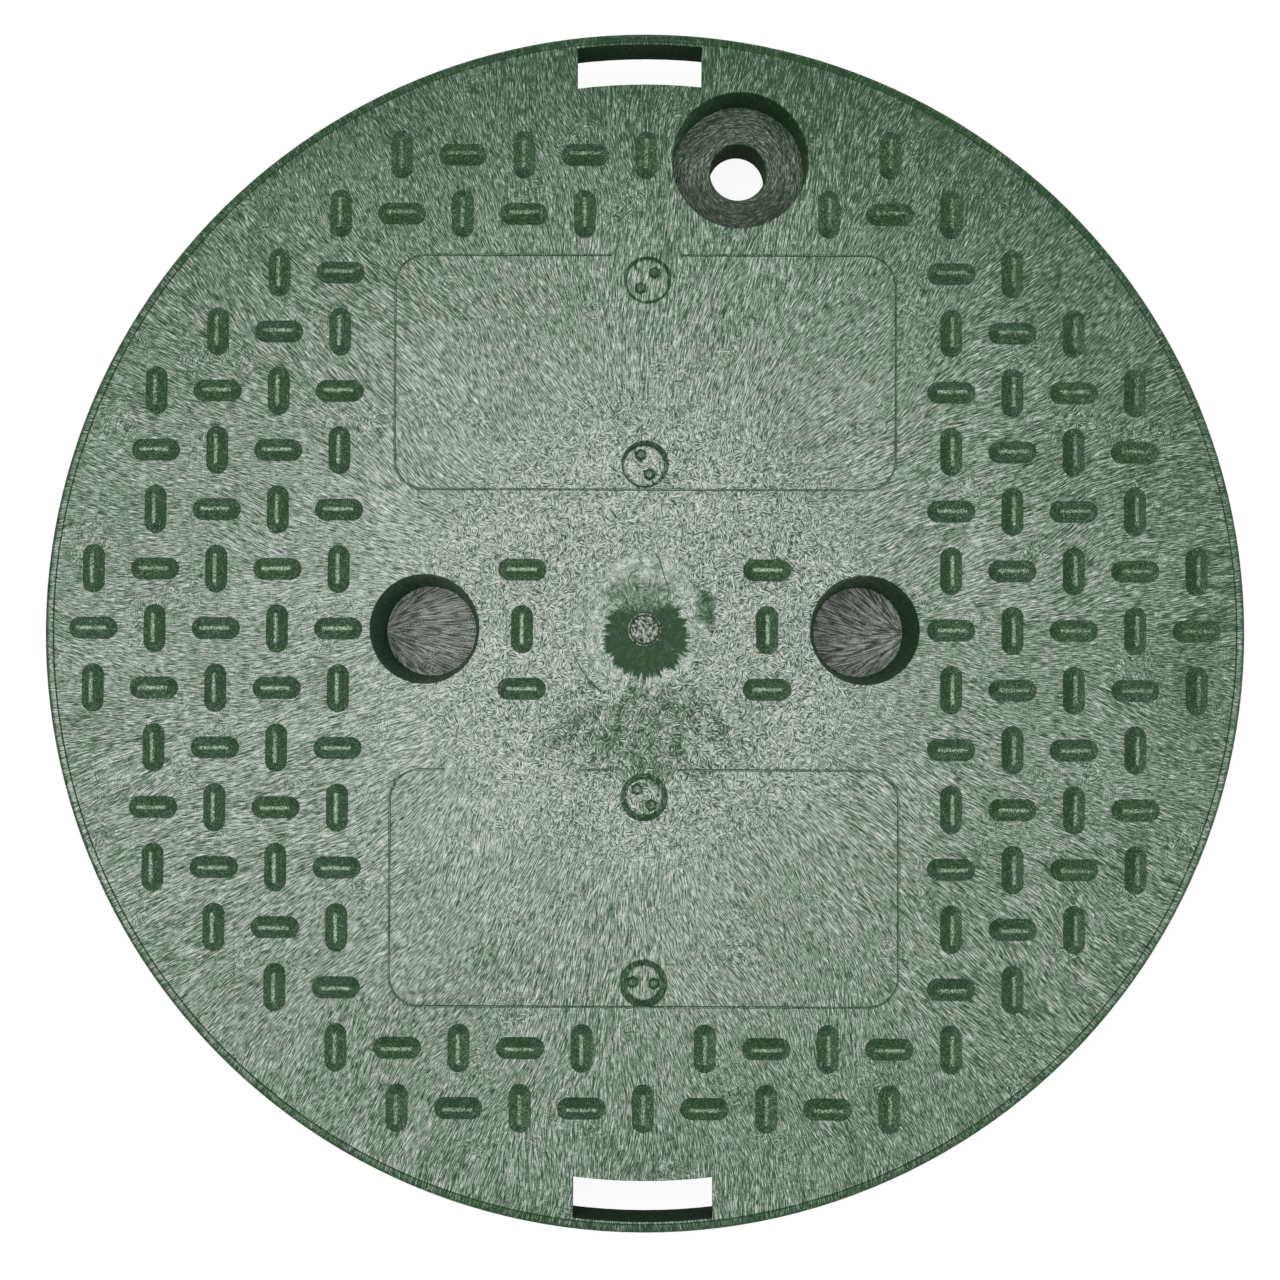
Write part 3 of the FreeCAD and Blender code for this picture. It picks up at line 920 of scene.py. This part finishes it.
@dataclass
class MouldedBody:
    """The lid itself: plate, skirt, inner ring, hub, ribs, wells, bolt seat, slots and sunken marks."""

    low: Vector
    high: Vector
    marks: Sequence[InsertMark]
    tread_height: float = 2.0 * MM
    plate: float = 4.0 * MM
    skirt_depth: float = 13.0 * MM
    skirt_wall: float = 2.7 * MM
    draft: float = math.radians(1.0)
    rim_round: float = 1.9 * MM
    rim_round_end: float = 4.0
    rim_steps: int = 6
    groove_width: float = 0.36 * MM
    groove_depth: float = 0.16 * MM
    groove_gap: float = 0.04 * MM
    channel: float = 9.09 * MM
    ring_wall: float = 3.6 * MM
    rib_depth: float = 11.0 * MM
    rib_wall: float = 2.8 * MM
    rib_sunk: float = 0.6
    rib_count: int = 8
    hub_radius: float = 20.0 * MM
    slot_half: float = 15.4 * MM
    slot_short: float = 12.3 * MM
    slot_ease: float = 0.05 * MM
    well_radius: float = 12.0 * MM
    well_floor: float = 10.4 * MM
    well_depth: float = 16.8 * MM
    well_gate: float = 0.95
    # Tones of the left and the right well floor, darkened as painted shade, the right one more.
    well_shade_tones: Point = (0.52, 0.42)
    cup_wall: float = 2.5 * MM
    recess_radius: float = 15.1 * MM
    recess_depth: float = 11.8 * MM
    hole_radius: float = 6.35 * MM
    boss_wall: float = 3.7 * MM
    mouth_round: float = 0.4 * MM
    mouth_steps: int = 4
    edge_round: float = 0.5 * MM
    edge_steps: int = 3
    floor_slack: float = 0.3 * MM
    floor_facing: float = 0.9
    smooth: float = math.radians(40)
    steps: int = 192
    hollow_steps: int = 96

    @property
    def top(self) -> float:
        """Height of the plate's upper face, under the tread bars."""
        return self.high.z - self.tread_height

    @property
    def underside(self) -> float:
        """Height of the plate's lower face."""
        return self.top - self.plate

    @property
    def rim(self) -> float:
        """Radius of the cover at the lip of its skirt."""
        return (self.high.x - self.low.x) / 2

    @property
    def skirt_root(self) -> float:
        """Inner radius of the skirt where it meets the plate."""
        return self.rim - self.skirt_wall - (self.skirt_depth - self.plate) * math.tan(self.draft)

    @property
    def ring(self) -> float:
        """Outer radius of the inner ring where it meets the plate."""
        return self.skirt_root - self.channel

    @property
    def wells(self) -> list[Point]:
        """Middles of the left and the right finger well."""
        return [opening_centre("finger_well_left"), opening_centre("finger_well_right")]

    @property
    def bolt(self) -> Point:
        """Middle of the bolt's seat."""
        return mount_place("bolt_hole")

    def shell_profile(self) -> Profile:
        """Gives the section of plate, skirt, inner ring and hub.

        Returns:
            The rings from the groove beside the rim, over the skirt, round to the underside within the hub.
        """
        lean = math.tan(self.draft)
        edge = self.edge_round
        under = self.underside
        lip = self.top - self.skirt_depth
        band = self.rim - self.skirt_depth * lean - self.rim_round
        groove = band - self.groove_gap
        rib_foot = under - self.rib_depth
        ring_lean = under * lean
        ring_inner = self.ring - self.ring_wall
        hub_outer = self.hub_radius + self.rib_wall / 2
        hub_inner = self.hub_radius - self.rib_wall / 2
        profile = [
            (groove - self.groove_width, self.top),
            (groove - self.groove_width / 2, self.top - self.groove_depth),
            (groove, self.top),
        ]
        shoulder = (band, self.top - self.rim_round)
        profile += arc(shoulder, self.rim_round, 90, self.rim_round_end, self.rim_steps)
        corners = (
            (self.rim - edge, lip + edge, 0, -90),
            (self.rim - self.skirt_wall + edge, lip + edge, -90, -180),
            (self.skirt_root - edge, under - edge, 0, 90),
            (self.ring + edge, under - edge, 90, 180),
            (self.ring - ring_lean - edge, edge, 0, -90),
            (ring_inner + ring_lean + edge, edge, -90, -180),
            (ring_inner - edge, under - edge, 0, 90),
            (hub_outer + edge, under - edge, 90, 180),
            (hub_outer - edge, rib_foot + edge, 0, -90),
            (hub_inner + edge, rib_foot + edge, -90, -180),
            (hub_inner - edge, under - edge, 0, 90),
        )
        for radius, height, start, end in corners:
            profile += arc((radius, height), edge, start, end, self.edge_steps)
        return profile

    def rib(self, turn: float) -> Piece:
        """Models one rib from the hub to the inner ring, with rounded edges.

        Args:
            turn: the rib's direction about the axis, in radians.

        Returns:
            The rib, sunk into the plate, the hub and the ring.
        """
        Bench.clear()
        start, end = self.hub_radius, self.ring - self.ring_wall * self.rib_sunk
        foot, head = self.underside - self.rib_depth, self.top - self.plate / 2
        reach = (start + end) / 2
        bpy.ops.mesh.primitive_cube_add(
            size=1.0, location=(reach * math.cos(turn), reach * math.sin(turn), (foot + head) / 2),
            rotation=(0.0, 0.0, turn), scale=(end - start, self.rib_wall, head - foot),
        )
        rib = Bench.settle("rib")
        Bench.edit("EDGE")
        bpy.ops.mesh.bevel(offset=self.edge_round, segments=self.edge_steps, affect="EDGES")
        bpy.ops.object.mode_set(mode="OBJECT")
        return rib

    def cup(self, centre: Point) -> Piece:
        """Models the outside of a finger well, under the plate.

        Args:
            centre: the well's middle.

        Returns:
            The solid that the well's hollow is cut from.
        """
        floor = self.top - self.well_depth - self.cup_wall
        lean = (self.well_radius - self.well_floor) / self.well_depth
        foot = self.well_floor + self.cup_wall - lean * self.cup_wall
        edge = 2 * self.edge_round
        profile = [(self.well_radius + self.cup_wall - lean * self.plate / 2, self.top - self.plate / 2)]
        profile += arc((foot - edge, floor + edge), edge, 0, -90, self.mouth_steps)
        return Bench.turned("well_cup", profile, centre, self.hollow_steps)

    def mouth(self, radius: float) -> Profile:
        """Gives the section of a hollow's rounded mouth.

        Args:
            radius: the hollow's radius below the mouth.

        Returns:
            The rings from above the plate down to that radius.
        """
        outer, height = radius + self.mouth_round, self.top - self.mouth_round
        rings = arc((outer, height), self.mouth_round, 90, 180, self.mouth_steps)
        return [(outer + MM, self.top + MM), *rings]

    def well(self, centre: Point) -> Piece:
        """Models the hollow of a finger well, with a rounded mouth and floor.

        Args:
            centre: the well's middle.

        Returns:
            The solid that cuts the hollow.
        """
        edge = self.edge_round
        inside = (self.well_floor - edge, self.top - self.well_depth + edge)
        profile = self.mouth(self.well_radius) + arc(inside, edge, 0, -90, self.mouth_steps)
        return Bench.turned("well_hollow", profile, centre, self.hollow_steps)

    def boss(self) -> Piece:
        """Models the outside of the bolt's seat.

        Returns:
            A cup and the boss below it.
        """
        floor = self.top - self.recess_depth - self.cup_wall
        cup = self.recess_radius + self.cup_wall
        post = self.hole_radius + self.boss_wall
        edge = self.edge_round
        profile = [(cup, self.top - self.plate / 2)]
        profile += arc((cup - edge, floor + edge), edge, 0, -90, self.edge_steps)
        profile += arc((post + edge, floor - edge), edge, 90, 180, self.edge_steps)
        profile += arc((post - edge, edge), edge, 0, -90, self.edge_steps)
        return Bench.turned("bolt_boss", profile, self.bolt, self.hollow_steps)

    def seat(self) -> Piece:
        """Models the hollow of the bolt's seat.

        Returns:
            The solid that cuts the recess and the hole through the boss.
        """
        floor = self.top - self.recess_depth
        edge = self.edge_round
        wall = self.recess_radius - self.recess_depth * math.tan(self.draft)
        profile = self.mouth(self.recess_radius)
        profile += arc((wall - edge, floor + edge), edge, 0, -90, self.mouth_steps)
        profile += arc((self.hole_radius + edge, floor - edge), edge, 90, 180, self.edge_steps)
        profile.append((self.hole_radius, self.low.z - MM))
        return Bench.turned("bolt_seat", profile, self.bolt, self.hollow_steps)

    def slot(self, left: float, right: float, side: int) -> Piece:
        """Models the solid that cuts one arc slot through the plate.

        Args:
            left: the slot's end towards -X.
            right: the slot's end towards +X.
            side: 1 for the slot beside the bolt, -1 for the slot opposite.

        Returns:
            A piece of a flat ring between two straight ends.
        """
        over, below = self.top + MM, self.underside - 2 * MM
        inner, outer = self.ring + self.slot_ease, self.skirt_root - self.slot_ease
        profile = [(inner, over), (outer, over), (outer, below), (inner, below)]
        piece = Bench.turned("slot", profile, AXIS, self.steps)
        Bench.pick(piece, "FACE", lambda face: len(face.vertices) > QUAD)
        bpy.ops.mesh.delete(type="FACE")
        Bench.open_edges()
        bpy.ops.mesh.bridge_edge_loops()
        planes = (
            ((left, 0.0, 0.0), (-1.0, 0.0, 0.0)),
            ((right, 0.0, 0.0), (1.0, 0.0, 0.0)),
            ((0.0, side * self.hub_radius, 0.0), (0.0, -side, 0.0)),
        )
        for point, facing in planes:
            bpy.ops.mesh.select_all(action="SELECT")
            bpy.ops.mesh.bisect(plane_co=point, plane_no=facing, use_fill=True, clear_outer=True)
        Bench.outwards()
        return piece

    def build(self) -> Piece:
        """Models the whole body.

        Returns:
            The finished mesh, smooth over its rounded edges.
        """
        piece = Bench.turned("moulded_cover", self.shell_profile(), AXIS, self.steps)
        added = [self.rib(math.tau * index / self.rib_count) for index in range(self.rib_count)]
        added += [self.cup(centre) for centre in self.wells]
        added.append(self.boss())
        for solid in added:
            Bench.combine(piece, solid, "UNION")
        taken = [self.well(centre) for centre in self.wells]
        taken.append(self.seat())
        taken.append(self.slot(-self.slot_half, self.slot_short, 1))
        taken.append(self.slot(-self.slot_half, self.slot_half, -1))
        taken += [mark.cutter(self.top) for mark in self.marks]
        for solid in taken:
            Bench.combine(piece, solid, "DIFFERENCE")
        Bench.soften(piece, self.smooth)
        return piece

    def floors(self) -> Iterator[tuple[Point, float, float, FibrePlastic]]:
        """Tells where fibres lie in their own way on a sunken floor, with the wells' tones darkened as
        painted shade.

        Returns:
            The middle, the radius, the height and the finish of each floor.
        """
        for (x, y), side, tone in zip(self.wells, (-1, 1), self.well_shade_tones):
            gate = ((x + side * self.well_radius * self.well_gate) / MM, y / MM)
            finish = replace(WELL_PLASTIC, source=gate, tone=tone)
            yield (x, y), self.well_radius, self.top - self.well_depth, finish
        x, y = (value / MM for value in self.bolt)
        shade = replace(RECESS_SHADE, x=x + RECESS_SHADE.x, y=y + RECESS_SHADE.y)
        finish = replace(RECESS_PLASTIC, source=(x, y), blots=(shade,))
        yield self.bolt, self.recess_radius, self.top - self.recess_depth, finish

    def dress(self, piece: Piece) -> None:
        """Gives the body its plastic, and the floors of its wells and recess their own lie of fibres, with
        painted shade in the wells' darker tones.

        Args:
            piece: the finished mesh.
        """
        piece.data.materials.clear()
        piece.data.materials.append(COVER_PLASTIC.material())
        for index, (centre, radius, height, finish) in enumerate(self.floors(), start=1):
            piece.data.materials.append(finish.material())
            for face in piece.data.polygons:
                near = (face.center.xy - Vector(centre)).length < radius
                level = abs(face.center.z - height) < self.floor_slack and face.normal.z > self.floor_facing
                if near and level:
                    face.material_index = index


@dataclass
class TreadField:
    """The raised bars of the tread, which turn by a quarter from each one to the next."""

    top: float
    rim: float
    height: float
    recess_radius: float
    pitch_x: float = 13.57 * MM
    pitch_y: float = 13.20 * MM
    length: float = 10.7 * MM
    width: float = 4.9 * MM
    ridge: float = 0.22 * MM
    crown: float = 0.55 * MM
    crown_steps: tuple[Point, ...] = ((0.6, 0.22 * MM), (0.4, 0.08 * MM))
    sunk: float = 0.25 * MM
    margin: float = 10.35 * MM
    rows: int = 8
    bare_x: float = 61.0 * MM
    bare_y: float = 85.0 * MM
    land: float = 1.5 * MM
    centre_column: int = 2
    centre_rows: int = 1
    open_row: int = 7
    corners: int = 16
    smooth: float = math.radians(40)

    def places(self) -> Iterator[tuple[float, float, BarLie]]:
        """Lays out the bars over the face.

        Returns:
            The middle and the direction of each bar.
        """
        field_radius = self.rim - self.margin
        columns = int(field_radius // self.pitch_x)
        bolt = mount_place("bolt_hole")
        reach = (self.length / 2, self.width / 2)
        for row in range(-self.rows, self.rows + 1):
            for column in range(-columns, columns + 1):
                x, y = column * self.pitch_x, row * self.pitch_y
                lie = BarLie.ALONG_X if (row + column) % 2 else BarLie.ALONG_Y
                reach_x, reach_y = reach if lie is BarLie.ALONG_X else reach[::-1]
                gap_x = max(abs(x - bolt[0]) - reach_x, 0.0)
                gap_y = max(abs(y - bolt[1]) - reach_y, 0.0)
                in_field = math.hypot(x, y) <= field_radius
                clear = math.hypot(gap_x, gap_y) >= self.recess_radius + self.land
                in_panel = abs(x) < self.bare_x and abs(y) < self.bare_y
                centre_bar = abs(column) == self.centre_column and abs(row) <= self.centre_rows
                left_out = column == 0 and abs(row) == self.open_row
                if in_field and clear and not left_out and (centre_bar or not in_panel):
                    yield x, y, lie

    def bar(self) -> Piece:
        """Models one bar along X: a round-ended foot drawn in, level by level, to a narrow ridge.

        Returns:
            The bar, with its foot a little below the plate's face.
        """
        Bench.clear()
        foot = self.width / 2 + self.sunk
        half_turn = math.pi / self.corners
        bpy.ops.mesh.primitive_circle_add(
            vertices=self.corners, radius=foot / math.cos(half_turn), fill_type="NGON",
            location=(0.0, 0.0, self.top - self.sunk), rotation=(0.0, 0.0, half_turn),
        )
        bar = Bench.settle("tread_bar")
        straight = (self.length - self.width) / 2
        for side in (1, -1):
            Bench.slide(bar, lambda corner: corner.co.x * side > 0, (side * straight, 0.0, 0.0))
        crown_rise = sum(lift for _, lift in self.crown_steps)
        levels = [(foot - self.ridge / 2 - self.crown, self.height + self.sunk - crown_rise)]
        levels += [(self.crown * share, lift) for share, lift in self.crown_steps]
        Bench.edit("FACE")
        for drawn_in, lift in levels:
            bpy.ops.mesh.inset(thickness=drawn_in, depth=lift)
        Bench.close()
        return bar

    def build(self) -> Piece:
        """Models the bar once and sets a copy of it at each place.

        Returns:
            All the bars as one piece.
        """
        model = self.bar()
        bars = []
        for x, y, lie in self.places():
            copy = model.copy()
            copy.data = model.data.copy()
            copy.location = (x, y, 0.0)
            copy.rotation_euler = (0.0, 0.0, lie.value)
            bpy.context.collection.objects.link(copy)
            bars.append(copy)
        bpy.data.objects.remove(model)
        piece = Bench.join("tread_bars", bars)
        Bench.soften(piece, self.smooth)
        return piece


@dataclass
class PanelOutline:
    """Fine raised line that the edge of a mould insert left round a bare panel."""

    y: float
    top: float
    width: float
    back_gaps: tuple[Point, ...]
    height: float = 52.2 * MM
    corner: float = 7.0 * MM
    corner_steps: int = 10
    line: float = 0.6 * MM
    slope: float = 0.42
    rise: float = 0.26 * MM
    sunk: float = 0.06 * MM

    def broken(self, face: bpy.types.MeshPolygon) -> bool:
        """Tells whether a face of the line lies in a gap of its back run."""
        return face.center.y > self.y and any(start < face.center.x < end for start, end in self.back_gaps)

    def build(self) -> Piece:
        """Models the line, which breaks off in its back run.

        Returns:
            The line as a low bead on the plate's face.
        """
        Bench.clear()
        bpy.ops.mesh.primitive_plane_add(size=1.0, location=(0.0, self.y, self.top - self.sunk))
        bpy.context.view_layer.objects.active.scale = (self.width + self.line, self.height + self.line, 1.0)
        piece = Bench.settle("panel_outline")
        Bench.edit("VERT")
        bpy.ops.mesh.bevel(offset=self.corner, segments=self.corner_steps, affect="VERTICES")
        Bench.edit("FACE")
        bpy.ops.mesh.inset(thickness=self.line, depth=0.0)
        bpy.ops.mesh.delete(type="FACE")
        for end in (end for gap in self.back_gaps for end in gap):
            bpy.ops.mesh.select_all(action="SELECT")
            bpy.ops.mesh.bisect(plane_co=(end, 0.0, 0.0), plane_no=(1.0, 0.0, 0.0))
        Bench.pick(piece, "FACE", self.broken)
        bpy.ops.mesh.delete(type="FACE")
        bpy.ops.mesh.select_all(action="SELECT")
        bpy.ops.mesh.inset(thickness=self.line * self.slope, depth=self.rise + self.sunk)
        Bench.close()
        return piece


@dataclass
class FlowLine:
    """Fine raised line that the melt left by the gate, drawn through a few points."""

    top: float
    points: Sequence[Point]
    width: float = 0.26 * MM
    rise: float = 0.09 * MM
    rounding: float = 0.9

    def build(self) -> list[Piece]:
        """Models the line.

        Returns:
            One bevelled bar for each straight run.
        """
        made = []
        for start, end in zip(self.points, self.points[1:]):
            run = Vector(end) - Vector(start)
            middle = (Vector(start) + Vector(end)) / 2
            Bench.clear()
            bpy.ops.mesh.primitive_cube_add(
                size=1.0, location=(*middle, self.top), rotation=(0.0, 0.0, math.atan2(run.y, run.x)),
                scale=(run.length + self.width / 2, self.width, 2 * self.rise),
            )
            made.append(Bench.settle("flow_line"))
            Bench.edit("EDGE")
            bpy.ops.mesh.bevel(offset=self.rise * self.rounding, segments=1, affect="EDGES")
            bpy.ops.object.mode_set(mode="OBJECT")
        return made


@dataclass
class MouldMarks:
    """Traces of the mould on the top face: panel outlines, screw pegs, the gate's stub and flow lines.

    The rings of the gate's stub, each so far in from its edge and so far above the plate, and the points of
    the cracks by the gate are in millimetres.
    """

    top: float
    marks: Sequence[InsertMark]
    panel_y: float = 57.15 * MM
    back_width: float = 111.2 * MM
    front_width: float = 112.4 * MM
    gap: Point = (-7.6 * MM, 7.6 * MM)
    faded: Point = (-44.0 * MM, -15.0 * MM)
    gate_radius: float = 3.75 * MM
    gate_steps: int = 64
    gate_rings: tuple[Point, ...] = (
        (0.0, -0.30), (0.05, 0.0), (0.12, 0.12), (0.34, 0.12),
        (0.52, -0.12), (0.62, -0.12), (0.78, 0.08), (0.92, 0.12),
    )
    arc_radius: float = 16.6 * MM
    arc_span: Point = (197.0, 238.0)
    arc_steps: int = 8
    cracks: tuple[tuple[Point, ...], ...] = (
        ((2.3, 17.0), (3.3, 15.4), (4.1, 12.6), (5.0, 9.9), (5.4, 8.4), (4.9, 6.4)),
        ((-3.3, 9.4), (-3.6, 11.2), (-3.0, 12.6), (-1.4, 13.2)),
    )
    smooth: float = math.radians(30)

    def gate(self) -> Piece:
        """Models the trimmed stub of the gate: a low disc in a fine ring."""
        profile = [(self.gate_radius - inset * MM, self.top + rise * MM) for inset, rise in self.gate_rings]
        return Bench.turned("gate_stub", profile, AXIS, self.gate_steps)

    def flow_lines(self) -> Piece:
        """Models the cracks in the cooled melt by the gate and the arc round it.

        Returns:
            The lines as one piece.
        """
        paths = [arc(AXIS, self.arc_radius, *self.arc_span, self.arc_steps)]
        paths += [[(x * MM, y * MM) for x, y in crack] for crack in self.cracks]
        return Bench.join("flow_lines", [run for path in paths for run in FlowLine(self.top, path).build()])

    def build(self) -> list[Piece]:
        """Models every mark.

        Returns:
            The outlines, the pegs, the flow lines and the gate's stub, each as one piece.
        """
        outlines = [
            PanelOutline(self.panel_y, self.top, self.back_width, (self.gap,)).build(),
            PanelOutline(-self.panel_y, self.top, self.front_width, (self.gap, self.faded)).build(),
        ]
        pegs = [peg for mark in self.marks for peg in mark.pegs(self.top)]
        pieces = [Bench.join("panel_outlines", outlines), Bench.join("insert_pegs", pegs)]
        pieces += [self.flow_lines(), self.gate()]
        for piece in pieces:
            Bench.soften(piece, self.smooth)
        return pieces


@dataclass(frozen=True)
class Lamp:
    """Square soft light that faces the cover, with its side in metres and its power in watts."""

    name: str
    place: tuple[float, float, float]
    size: float
    power: float

    def hang(self, top: float) -> None:
        """Adds the light.

        Args:
            top: height of the face that it shines on.
        """
        Bench.clear()
        bpy.ops.object.light_add(type="AREA", location=self.place)
        light = bpy.context.view_layer.objects.active
        light.name = self.name
        light.data.size = self.size
        light.data.energy = self.power
        towards = Vector((*AXIS, top)) - Vector(self.place)
        light.rotation_euler = towards.to_track_quat("-Z", "Y").to_euler()


@dataclass
class Studio:
    """Plain pale floor, soft light and the camera above the cover."""

    top: float
    floor_size: float = 6.0
    floor_drop: float = 0.2 * MM
    floor_glow: float = 0.92
    floor_lit: float = 0.40
    floor_seen: float = 0.10
    sky_light: float = 0.55
    lamps: tuple[Lamp, ...] = (
        Lamp("overhead_light", (-0.25, 0.15, 1.5), size=1.6, power=14.0),
        Lamp("side_light", (1.3, -0.3, 0.55), size=0.8, power=5.0),
    )
    camera_height: float = 0.490
    camera_place: Point = (0.5 * MM, -13.8 * MM)
    camera_aim: Point = (-1.0 * MM, -2.3 * MM)
    camera_roll: float = math.radians(-0.204)
    lens: float = 62.27
    sensor: float = 36.0

    def floor(self) -> None:
        """Lays the floor, which looks white and still takes the cover's shadow."""
        Bench.clear()
        bpy.ops.mesh.primitive_plane_add(size=self.floor_size, location=(*AXIS, -self.floor_drop))
        piece = Bench.settle("studio_floor")
        made = bpy.data.materials.new("pale_floor")
        graph = Graph(made)
        seen = graph.node("ShaderNodeLightPath").outputs["Is Camera Ray"]
        glow = graph.node("ShaderNodeEmission", {"Strength": graph.product(seen, self.floor_glow)})
        lit, shown = ((grey, grey, grey, 1.0) for grey in (self.floor_lit, self.floor_seen))
        paint = graph.node("ShaderNodeBsdfDiffuse", {"Color": graph.mix_colours(seen, lit, shown)})
        both = graph.node("ShaderNodeAddShader", {0: glow.outputs[0], 1: paint.outputs[0]})
        graph.show("ShaderNodeOutputMaterial", both)
        piece.data.materials.append(made)

    def sky(self) -> None:
        """Lights the scene from all round, and shows white behind the floor's edge."""
        world = bpy.data.worlds.new("soft_sky")
        graph = Graph(world)
        seen = graph.node("ShaderNodeLightPath").outputs["Is Camera Ray"]
        strength = graph.fade(seen, 0.0, 1.0, self.sky_light, 1.0)
        white = (1.0, 1.0, 1.0, 1.0)
        graph.show("ShaderNodeOutputWorld",
                   graph.node("ShaderNodeBackground", {"Color": white, "Strength": strength}))
        bpy.context.scene.world = world

    def camera(self) -> None:
        """Sets the camera where the cover is seen from, with no shift and everything in focus."""
        place = Vector((*self.camera_place, self.top + self.camera_height))
        aim = Vector((*self.camera_aim, self.top))
        away = (place - aim).normalized()
        upward = Vector((math.sin(self.camera_roll), math.cos(self.camera_roll), 0.0))
        right = upward.cross(away).normalized()
        Bench.clear()
        bpy.ops.object.camera_add(location=place)
        camera = bpy.context.view_layer.objects.active
        camera.name = "photo_camera"
        camera.rotation_euler = Matrix((right, away.cross(right), away)).transposed().to_euler()
        camera.data.sensor_width = self.sensor
        camera.data.sensor_fit = "AUTO"
        camera.data.lens = self.lens
        camera.data.clip_start = MM
        bpy.context.scene.camera = camera

    def build(self) -> None:
        """Sets up the floor, the sky, the lamps and the camera."""
        self.floor()
        self.sky()
        for lamp in self.lamps:
            lamp.hang(self.top)
        self.camera()
        bpy.context.scene.view_settings.view_transform = "Standard"


def carry(piece: Piece) -> None:
    """Fixes a piece to the cover's body and reports it.

    Args:
        piece: the finished piece.
    """
    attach(piece, BODY)
    LOG.info("%s: %d faces", piece.name, len(piece.data.polygons))


def main() -> None:
    """Builds and dresses the cover, then sets up the studio."""
    logging.basicConfig(level=logging.INFO, format="%(name)s %(message)s")
    low, high = (Vector(corner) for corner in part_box(NODE))
    body = MouldedBody(low, high, INSERT_MARKS)
    cover = body.build()
    body.dress(cover)
    bars = TreadField(body.top, body.rim, body.tread_height, body.recess_radius).build()
    outlines, pegs, lines, stub = MouldMarks(body.top, INSERT_MARKS).build()
    finishes = {bars: TREAD_PLASTIC, outlines: TREAD_PLASTIC, pegs: PEG_PLASTIC, lines: LINE_PLASTIC,
                stub: STUB_PLASTIC}
    for piece, finish in finishes.items():
        piece.data.materials.clear()
        piece.data.materials.append(finish.material())
    for piece in (cover, *finishes):
        carry(piece)
    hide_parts(NODE)
    Studio(body.top).build()


if __name__ == "__main__":
    main()
